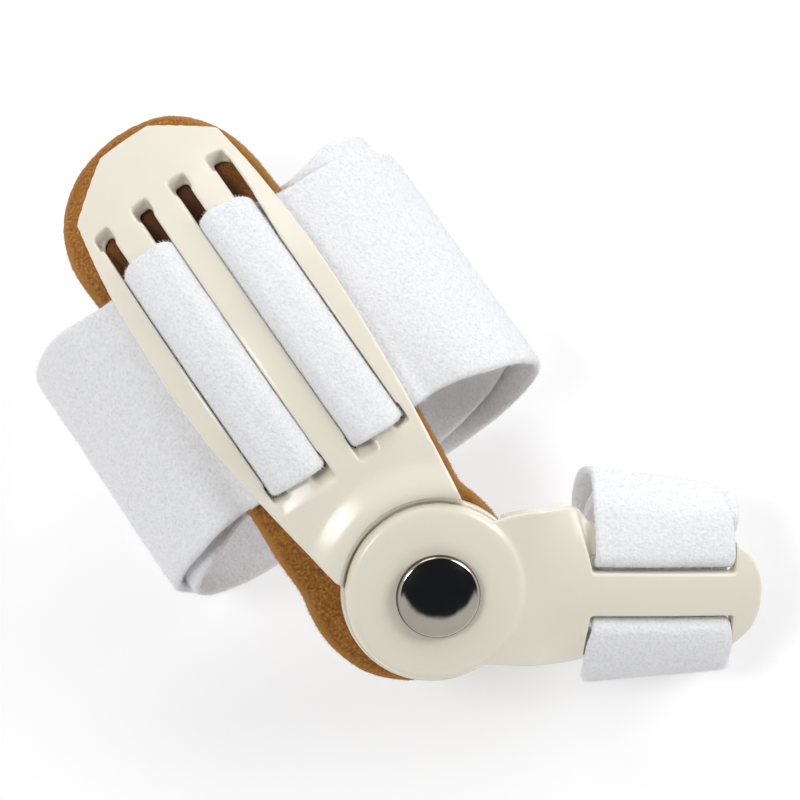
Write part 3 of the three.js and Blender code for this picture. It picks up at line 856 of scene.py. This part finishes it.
def strap_turn(strap, rows):
    """One turn of the strap in even short steps: across, height and shift along the plate."""
    given = [(w, h, shift[0] if shift else strap["skew"] * w) for w, h, *shift in rows]
    curve = curve_through(given, per_span=24)
    curve[:, 1] = np.maximum(curve[:, 1], min(row[1] for row in given))
    distance = measured(curve)
    stops = np.linspace(0, distance[-1], math.ceil(distance[-1] / STEP) + 1)
    return np.stack([np.interp(stops, distance, column) for column in curve.T], 1)


def strap_path(strap):
    """Stations from the strap's inner end to its outer end, and how firmly each is held."""
    up = strap_turn(strap, [*strap["inner"], *strap["outer_up"]])[:-1]
    down = strap_turn(strap, strap["outer_down"])[1:]
    weave = strap["weave"]
    right = [(-w, h, r) for w, h, r in weave]
    low, high = OUTER_CORNERS
    left = [(w + strap["aside"] * (low < w < high), h, r) for w, h, r in weave]
    woven = rounded_path([*right, *left[::-1]])
    woven = np.column_stack([woven, strap["skew"] * woven[:, 0]])

    def hold(turn):
        aside = 1 - ease(*strap["hold_across"], np.abs(turn[:, 0]))
        return aside * ease(*strap["hold_height"], turn[:, 1])

    held = np.concatenate([hold(up), np.full(len(woven), 2.0), hold(down)])
    return np.vstack([up, woven, down]), held


# %% The ribbon
def ribbon(name, strap, arm, forward, up, axes, seed):
    """The strap swept along its path, with a UV map along and across the tape."""
    stations, held = strap_path(strap)
    path, shift = stations[:, :2], stations[:, 2]
    ahead = np.gradient(path, axis=0)
    normal = np.stack([ahead[:, 1], -ahead[:, 0]], 1) / np.linalg.norm(ahead, axis=1)[:, None]

    # The section runs along the outer face, round one edge, back along the inner face and round.
    half, radius = strap["width"] / 2, strap["thick"] / 2
    run = np.linspace(-half + radius, half - radius, math.ceil(strap["width"] / CROSS_STEP))
    bend = np.radians(np.linspace(90, -90, 7))[1:-1]
    edge = np.stack([half - radius + radius * np.cos(bend), radius * np.sin(bend)], 1)
    face = np.stack([run, np.full(len(run), radius)], 1)
    section = np.vstack([face, edge, (face * (1, -1))[::-1], (edge * (-1, -1))])
    count, rings = len(section), len(path)

    # Both ends are thinner, the rolls are fuller, the edges wave and the faces are a little lumpy.
    v = np.tile(section[:, 0], (rings, 1))
    thin = 1 - END_THINNING * (np.arange(rings) % (rings - 1) == 0)
    full = (held > 1) * strap["in_slots"] * (1 - ease(*ROLL_END, np.abs(path[:, 0])))
    offset = (thin + full / strap["thick"])[:, None] * section[None, :, 1]
    along_tape = measured(path)
    side = FACES_APART * np.sign(offset)
    tape = np.stack([np.repeat(along_tape, count), v.ravel(), side.ravel()], 1)
    height, bump = EDGE_WAVE
    wave = lumps(tape, bump, seed) * (np.abs(v.ravel()) / half) ** 4
    v = v + height * wave.reshape(v.shape)
    height, bump = FACE_LUMP
    offset = offset + height * lumps(tape * (1, 1, 0), bump, seed + 1).reshape(v.shape)
    w = path[:, None, 0] + normal[:, None, 0] * offset
    h = path[:, None, 1] + normal[:, None, 1] * offset
    h = np.maximum(h, path[:, 1].min() - radius + strap["pressed"])
    # The far edge of the loop's upper side curls in, its depth is tucked towards the hinge, and
    # its lower side is pulled flat.
    upper = ease(*UPPER_SIDE, w)
    pinch = strap["pinch"] * upper * ease(*CURL_DEPTH, -h) * (v > 0)
    curl = 1 - pinch + strap["spread"] * ease(*LOWER_SIDE, -w)
    along = v * curl + shift[:, None] - strap["tuck"] * upper * np.maximum(-h - TUCK_DEPTH, 0)
    size = 1 - strap["taper"] * v
    lean = strap["lean"] - strap["twist"] * w

    origin = on_arch(arm, np.array(strap["centre"]), 0.0, 0.0)
    free = origin + forward * (along - lean * h)[..., None] + up * (h * size)[..., None]
    free[..., 1] += w * size
    grip = np.minimum(held, 1.0)[:, None, None]
    free = free + (on_arch(arm, strap["centre"] + along, w, h) - free) * grip
    tight = on_arm(arm, strap["centre"] + along, w, h)
    points = np.where((held > 1)[:, None, None], tight, free)

    index = np.arange(rings * count).reshape(rings, count)
    near, far = index[:-1], index[1:]
    nearer, farther = np.roll(near, -1, 1), np.roll(far, -1, 1)
    faces = np.stack([near, nearer, farther, far], -1).reshape(-1, 4).tolist()
    faces += [index[0].tolist(), index[-1].tolist()]
    piece = outward(new_piece(name, place(points.reshape(-1, 3), axes), faces))
    move_points(piece, coordinates(piece))

    uv = piece.data.uv_layers.new(name="tape")
    corner = np.zeros(len(piece.data.loops), int)
    piece.data.loops.foreach_get("vertex_index", corner)
    flat = np.stack([np.repeat(along_tape, count), np.tile(section[:, 0], rings)], 1) * MM
    uv.data.foreach_set("uv", flat[corner].ravel())
    return piece, along_tape[-1]


# %% [markdown]
# Plush tape is white with a cold tinge. Its pile is brushed across the tape, which leaves faint
# streaks that way, and it clumps into tufts of about a millimetre with soft hollows between, which
# are painted darker as shade. The tufts are spots on Object coordinates, while the streaks read the
# UV map to run with the tape.


# %% White plush
def white_plush():
    material, tree, shader = finish_tree("white_plush")
    spot = object_coordinates(tree)
    uv = tree.nodes.new("ShaderNodeUVMap")
    uv.uv_map = "tape"
    along_tape = stretched(tree, uv.outputs["UV"], scale=(2600.0, 700.0, 1.0))
    tuft = spots(tree, spot, scale=1700.0, detail=5.0)
    brushed = spots(tree, along_tape, scale=1.0, detail=4.0)
    clump = spots(tree, spot, scale=210.0, detail=3.0)
    hollow_shade, body, tip = (0.72, 0.73, 0.755), (0.82, 0.825, 0.845), (0.89, 0.892, 0.905)
    # painted shade: the tufts' colour is darkest where their bump is lowest, in the hollows
    pile = shades(tree, tuft, [(0.3, hollow_shade), (0.48, body), (0.68, tip)])
    streak = shades(tree, brushed, [(0.35, (0.77, 0.775, 0.80)), (0.62, (0.87, 0.87, 0.885))])
    share = between(tree, clump, low=0.1, high=0.4)
    tree.links.new(mixed(tree, share, pile, streak), shader.inputs["Base Color"])
    low = raised(tree, tuft, depth=0.0003)
    tree.links.new(raised(tree, brushed, depth=0.00008, normal=low), shader.inputs["Normal"])
    shader.inputs["Roughness"].default_value = 0.95
    shader.inputs["Specular IOR Level"].default_value = 0.1
    shader.inputs["Sheen Weight"].default_value = 0.35
    shader.inputs["Sheen Roughness"].default_value = 0.5
    return material


PLUSH = white_plush()
print("plush nodes:", len(PLUSH.node_tree.nodes))

# %% Straps
# The foot loop hangs level in the frame, and the toe loop square to its plate.
LEVEL = np.array([math.sqrt(1 - HINGE_UP[2] ** 2), 0.0, HINGE_UP[2]])
level_along = np.array([LEVEL[2], 0.0, -LEVEL[0]])
toe_bend = (TOE_STRAP["centre"] - TOE_ARM["flat"]) / TOE_ARM["arch"]
toe_along = np.array([math.cos(toe_bend), 0.0, -math.sin(toe_bend)])
toe_up = np.array([math.sin(toe_bend), 0.0, math.cos(toe_bend)])
foot_strap, foot_run = ribbon(
    "foot_strap_plush", FOOT_STRAP, FOOT_ARM, level_along, LEVEL, FOOT_AXES, seed=21,
)
toe_strap, toe_run = ribbon(
    "toe_strap_plush", TOE_STRAP, TOE_ARM, toe_along, toe_up, TOE_AXES, seed=31,
)
for strap in (foot_strap, toe_strap):
    strap.data.materials.append(PLUSH)
print("strap lengths, mm:", round(foot_run), round(toe_run))

# %% [markdown]
# Pile is made of fibres, and they show most at the strap's edges and folds, where light catches
# them from behind. A hair system would do for a picture, but here the fibres have to end up as a
# plain mesh. So Geometry Nodes scatter short pointed fibres over a cloth and lean each its own
# way. The felt gets the same tree with shorter, browner fibres, and none where it is covered.

# %% The fibre and its tree
ROOT_HALF, TIP_LEAN = 0.07, 0.35
fibre_points = [(-ROOT_HALF, 0, 0), (ROOT_HALF, 0, 0), (0, TIP_LEAN, 1)]
fibre = new_piece("fibre", fibre_points, [(0, 1, 2)])
NAP_INPUTS = {
    "Density": "NodeSocketFloat",
    "Length": "NodeSocketFloat",
    "Lean": "NodeSocketFloat",
    "Seed": "NodeSocketInt",
}


def nap_tree(name, material):
    """A tree that scatters fibres over a surface, and its inputs by name."""
    tree = bpy.data.node_groups.new(name, "GeometryNodeTree")
    ports = tree.interface
    ports.new_socket("Cloth", in_out="INPUT", socket_type="NodeSocketGeometry")
    inputs = {
        key: ports.new_socket(key, in_out="INPUT", socket_type=kind)
        for key, kind in NAP_INPUTS.items()
    }
    ports.new_socket("Nap", in_out="OUTPUT", socket_type="NodeSocketGeometry")
    node, link = tree.nodes.new, tree.links.new

    def maths(operation, *values):
        """A maths node on sockets or plain numbers."""
        step = node("ShaderNodeMath")
        step.operation = operation
        for socket, value in zip(step.inputs, values):
            if isinstance(value, float):
                socket.default_value = value
            else:
                link(value, socket)
        return step.outputs[0]

    given, result = node("NodeGroupInput"), node("NodeGroupOutput")
    scatter = node("GeometryNodeDistributePointsOnFaces")
    link(given.outputs["Cloth"], scatter.inputs["Mesh"])
    covered = node("GeometryNodeInputNamedAttribute")
    covered.inputs["Name"].default_value = "covered"
    open_share = maths("SUBTRACT", 1.0, covered.outputs["Attribute"])
    link(maths("MULTIPLY", given.outputs["Density"], open_share), scatter.inputs["Density"])
    link(given.outputs["Seed"], scatter.inputs["Seed"])

    lean = node("FunctionNodeRandomValue")
    lean.data_type = "FLOAT_VECTOR"
    least, most = node("ShaderNodeCombineXYZ"), node("ShaderNodeCombineXYZ")
    minus = maths("MULTIPLY", given.outputs["Lean"], -1.0)
    for axis in ("X", "Y"):
        link(minus, least.inputs[axis])
        link(given.outputs["Lean"], most.inputs[axis])
    most.inputs["Z"].default_value = 2.0 * math.pi
    link(least.outputs[0], lean.inputs["Min"])
    link(most.outputs[0], lean.inputs["Max"])
    link(given.outputs["Seed"], lean.inputs["Seed"])
    turn = node("FunctionNodeRotateRotation")
    turn.rotation_space = "LOCAL"
    link(scatter.outputs["Rotation"], turn.inputs["Rotation"])
    link(lean.outputs["Value"], turn.inputs["Rotate By"])

    size = node("FunctionNodeRandomValue")
    size.inputs["Min"].default_value = 0.55
    size.inputs["Max"].default_value = 1.15
    grown = maths("MULTIPLY", size.outputs["Value"], given.outputs["Length"])

    shape = node("GeometryNodeObjectInfo")
    shape.inputs["Object"].default_value = fibre
    copies = node("GeometryNodeInstanceOnPoints")
    link(scatter.outputs["Points"], copies.inputs["Points"])
    link(shape.outputs["Geometry"], copies.inputs["Instance"])
    link(turn.outputs["Rotation"], copies.inputs["Rotation"])
    link(grown, copies.inputs["Scale"])
    real = node("GeometryNodeRealizeInstances")
    paint = node("GeometryNodeSetMaterial")
    paint.inputs["Material"].default_value = material
    link(copies.outputs["Instances"], real.inputs["Geometry"])
    link(real.outputs["Geometry"], paint.inputs["Geometry"])
    link(paint.outputs["Geometry"], result.inputs["Nap"])
    return tree, inputs


def nap(name, cloth, tree, inputs, **values):
    """The cloth's fibres as a plain mesh of their own."""
    piece = bpy.data.objects.new(name, cloth.data.copy())
    bpy.context.scene.collection.objects.link(piece)
    grow = piece.modifiers.new("nap", "NODES")
    grow.node_group = tree
    for key, value in values.items():
        grow[inputs[key].identifier] = value
    settle(piece)
    # Where a strap lies on the floor its pile is pressed flat.
    move_points(piece, np.maximum(coordinates(piece), (-np.inf, -np.inf, 0.0)))
    print(name, "fibres:", len(piece.data.polygons))
    return piece


# %% Fibre finishes
def fibre_finish(name, root, tip):
    """A soft fibre whose colour varies from tuft to tuft."""
    material, tree, shader = finish_tree(name)
    tone = spots(tree, object_coordinates(tree), scale=700.0, detail=3.0)
    tree.links.new(shades(tree, tone, [(0.3, root), (0.7, tip)]), shader.inputs["Base Color"])
    shader.inputs["Roughness"].default_value = 0.9
    shader.inputs["Specular IOR Level"].default_value = 0.1
    shader.inputs["Sheen Weight"].default_value = 0.3
    return material


WHITE_FIBRE = fibre_finish("white_fibre", (0.80, 0.805, 0.82), (0.89, 0.89, 0.90))
TAN_FIBRE = fibre_finish("tan_fibre", (0.28, 0.105, 0.018), (0.47, 0.21, 0.05))
print("fibre finishes:", WHITE_FIBRE.name, TAN_FIBRE.name)

# %% Nap on the straps and the pad
PER_MM2 = 1e6
white_nap, white_inputs = nap_tree("white_nap", WHITE_FIBRE)
tan_nap, tan_inputs = nap_tree("tan_nap", TAN_FIBRE)
share = 1.0
dense, denser = 4.2 * PER_MM2 * share, 6.0 * PER_MM2 * share
foot_nap = nap("foot_strap_nap", foot_strap, white_nap, white_inputs,
               Density=dense, Length=0.0007, Lean=1.1, Seed=5)
toe_nap = nap("toe_strap_nap", toe_strap, white_nap, white_inputs,
              Density=dense, Length=0.0006, Lean=1.1, Seed=6)
pad_nap = nap("foot_pad_nap", foot_pad, tan_nap, tan_inputs,
              Density=denser, Length=0.0005, Lean=1.0, Seed=7)
bpy.data.objects.remove(fibre)

# %% [markdown]
# Each piece now rides on the body that it belongs to, and the solid that it stands for is hidden.

# %% Fasten the pieces to the frame
FASTENED = [
    (foot_plate, "foot_plate", "foot", "ivory_plastic"),
    (toe_plate, "toe_plate", "toe", "ivory_plastic"),
    (rivet, "hinge_rivet", "foot", "polished_steel"),
    (foot_pad, "foot_pad", "foot", "tan_felt"),
    (foot_strap, "foot_strap", "foot", "white_plush"),
    (toe_strap, "toe_strap", "toe", "white_plush"),
]
for piece, node, body, slot in FASTENED:
    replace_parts(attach(piece, body), node)
NAPS = [
    (foot_nap, "foot", "white_plush"),
    (toe_nap, "toe", "white_plush"),
    (pad_nap, "foot", "tan_felt"),
]
for piece, body, slot in NAPS:
    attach(piece, body)

# %% [markdown]
# The stage is a pale floor under three soft lights: one from the right, one from behind and a small
# one high on the left, which makes the bright spot on the shoulder. The room is bright low down and
# has a dark patch of ceiling on the near side, because that is what the polished cap mirrors.


# %% Floor, lights and room
def soft_light(name, target, offset, size, power):
    """A square light that faces the target."""
    data = bpy.data.lights.new(name, "AREA")
    data.size, data.energy = size, power
    lamp = bpy.data.objects.new(name, data)
    lamp.location = Vector(target) + Vector(offset)
    lamp.rotation_euler = Vector(offset).to_track_quat("Z", "Y").to_euler()
    bpy.context.scene.collection.objects.link(lamp)


def pale_floor(half):
    """A square floor that glows a little, so that it stays white between the shadows."""
    corners = [(-half, -half, 0), (half, -half, 0), (half, half, 0), (-half, half, 0)]
    floor = new_piece("floor", corners, [(0, 1, 2, 3)])
    material, _, shader = finish_tree("pale_floor")
    shader.inputs["Base Color"].default_value = (0.6, 0.6, 0.605, 1.0)
    shader.inputs["Roughness"].default_value = 0.9
    shader.inputs["Emission Color"].default_value = (1.0, 1.0, 1.0, 1.0)
    shader.inputs["Emission Strength"].default_value = 0.45
    floor.data.materials.append(material)


def studio_room(dark_way, bright, near, dark):
    """Light from all round, dimmer on the near side, with a dark patch of ceiling one way."""
    world = bpy.data.worlds.new("studio")
    bpy.context.scene.world = world
    world.use_nodes = True
    tree = world.node_tree
    way = tree.nodes.new("ShaderNodeTexCoord").outputs["Generated"]
    facing = tree.nodes.new("ShaderNodeVectorMath")
    facing.operation = "DOT_PRODUCT"
    facing.inputs[1].default_value = dark_way
    tree.links.new(way, facing.inputs[0])
    blots = spots(tree, way, scale=5.0, detail=3.0)
    ragged = between(tree, blots, low=-0.05, high=0.05)
    wavy = tree.nodes.new("ShaderNodeMath")
    tree.links.new(facing.outputs["Value"], wavy.inputs[0])
    tree.links.new(ragged, wavy.inputs[1])
    parts = tree.nodes.new("ShaderNodeSeparateXYZ")
    tree.links.new(way, parts.inputs[0])
    behind = tree.nodes.new("ShaderNodeMath")
    behind.operation = "MULTIPLY_ADD"
    behind.inputs[1].default_value = 0.5
    behind.inputs[2].default_value = 0.5
    tree.links.new(parts.outputs["Y"], behind.inputs[0])
    walls = shades(tree, behind.outputs[0], [(0.0, near), (1.0, bright)])
    patch = shades(tree, wavy.outputs[0], [(0.66, (0.0, 0.0, 0.0)), (0.73, (1.0, 1.0, 1.0))])
    colour = mixed(tree, patch, walls, dark)
    tree.links.new(colour, tree.nodes["Background"].inputs["Color"])


# name, offset from the part's middle, size, power
LIGHTS = [
    ("key", (0.63, 0.18, 0.40), 0.34, 2.7),
    ("back", (-0.04, 0.56, 0.50), 0.36, 0.9),
    ("top", (-0.25, -0.06, 0.72), 0.18, 1.6),
]
bpy.context.scene.view_settings.view_transform = "Standard"
middle = (cad_box[0] + cad_box[1]) / 2
pale_floor(half=3.0)
for name, offset, size, power in LIGHTS:
    soft_light(name, middle, offset, size, power)
studio_room(
    dark_way=(0.40, -0.16, 0.90),
    bright=(0.95, 0.95, 0.97), near=(0.78, 0.765, 0.74), dark=(0.020, 0.023, 0.030),
)

# %% [markdown]
# The camera stands almost overhead, a little towards the hinge end, and looks at the floor near
# the middle of the part. Its lens is long, so the plates keep their true proportions.

# %% Camera
AIM = Vector((-0.0015, 0.0056, -0.0003))
VIEW_AZIMUTH, VIEW_ELEVATION = math.radians(-56.9), math.radians(77.6)
VIEW_DISTANCE = 0.5285
VIEW_ROLL = math.radians(-0.4)
LENS, SENSOR = 118.0, 36.0

lens = bpy.data.cameras.new("camera")
lens.lens, lens.sensor_width = LENS, SENSOR
camera = bpy.data.objects.new("camera", lens)
back = Vector((
    math.cos(VIEW_ELEVATION) * math.cos(VIEW_AZIMUTH),
    math.cos(VIEW_ELEVATION) * math.sin(VIEW_AZIMUTH),
    math.sin(VIEW_ELEVATION),
))
across_view = Vector((0, 1, 0)).cross(back).normalized()
turn = Matrix((across_view, back.cross(across_view), back)).transposed()
rolled = turn @ Matrix.Rotation(VIEW_ROLL, 3, "Z")
camera.matrix_world = Matrix.Translation(AIM + VIEW_DISTANCE * back) @ rolled.to_4x4()
bpy.context.scene.collection.objects.link(camera)
bpy.context.scene.camera = camera
print("camera at, mm:", [round(1000 * x) for x in camera.location])
